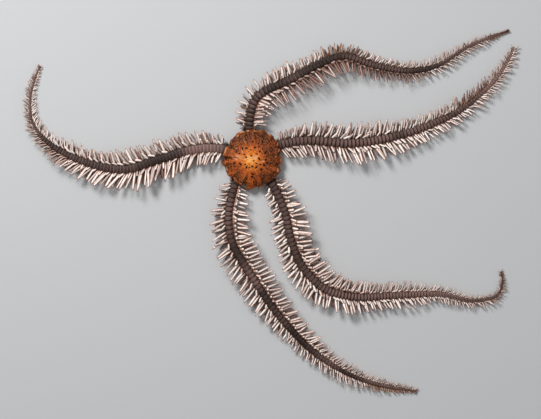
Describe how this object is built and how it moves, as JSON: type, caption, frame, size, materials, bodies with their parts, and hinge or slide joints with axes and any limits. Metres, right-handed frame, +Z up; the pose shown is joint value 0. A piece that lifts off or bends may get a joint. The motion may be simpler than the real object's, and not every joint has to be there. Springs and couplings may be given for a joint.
{
  "type": "brittle star",
  "caption": "Life-size spiny brittle star resting on its underside: a scalloped orange disc with long banded dark arms fringed on both sides with pale spines.",
  "frame": {"origin": "centre of the disc's underside, where the jaws meet, at floor level", "axes": "+X to the right of the pose seen from above (its longest extent), +Y to the top of that view, +Z up from the floor"},
  "size_m": [0.1141, 0.0839, 0.0043],
  "materials": {
    "disc": "granular orange-brown skin, darker to the edge, with small blackish dots",
    "mouth": "matte pale plates",
    "arm": "dark grey-brown back plates with cream to tan spines, satin"
  },
  "bodies": {
    "root": {"disc": "disc", "mouth": "mouth", "arm_west_base": "arm", "arm_west_mid": "arm", "arm_west_outer": "arm", "arm_west_tip": "arm", "arm_north_base": "arm", "arm_north_mid": "arm", "arm_north_outer": "arm", "arm_north_tip": "arm", "arm_east_base": "arm", "arm_east_mid": "arm", "arm_east_outer": "arm", "arm_east_tip": "arm", "arm_southeast_base": "arm", "arm_southeast_mid": "arm", "arm_southeast_outer": "arm", "arm_southeast_tip": "arm", "arm_southwest_base": "arm", "arm_southwest_mid": "arm", "arm_southwest_outer": "arm", "arm_southwest_tip": "arm"}
  },
  "joints": []
}
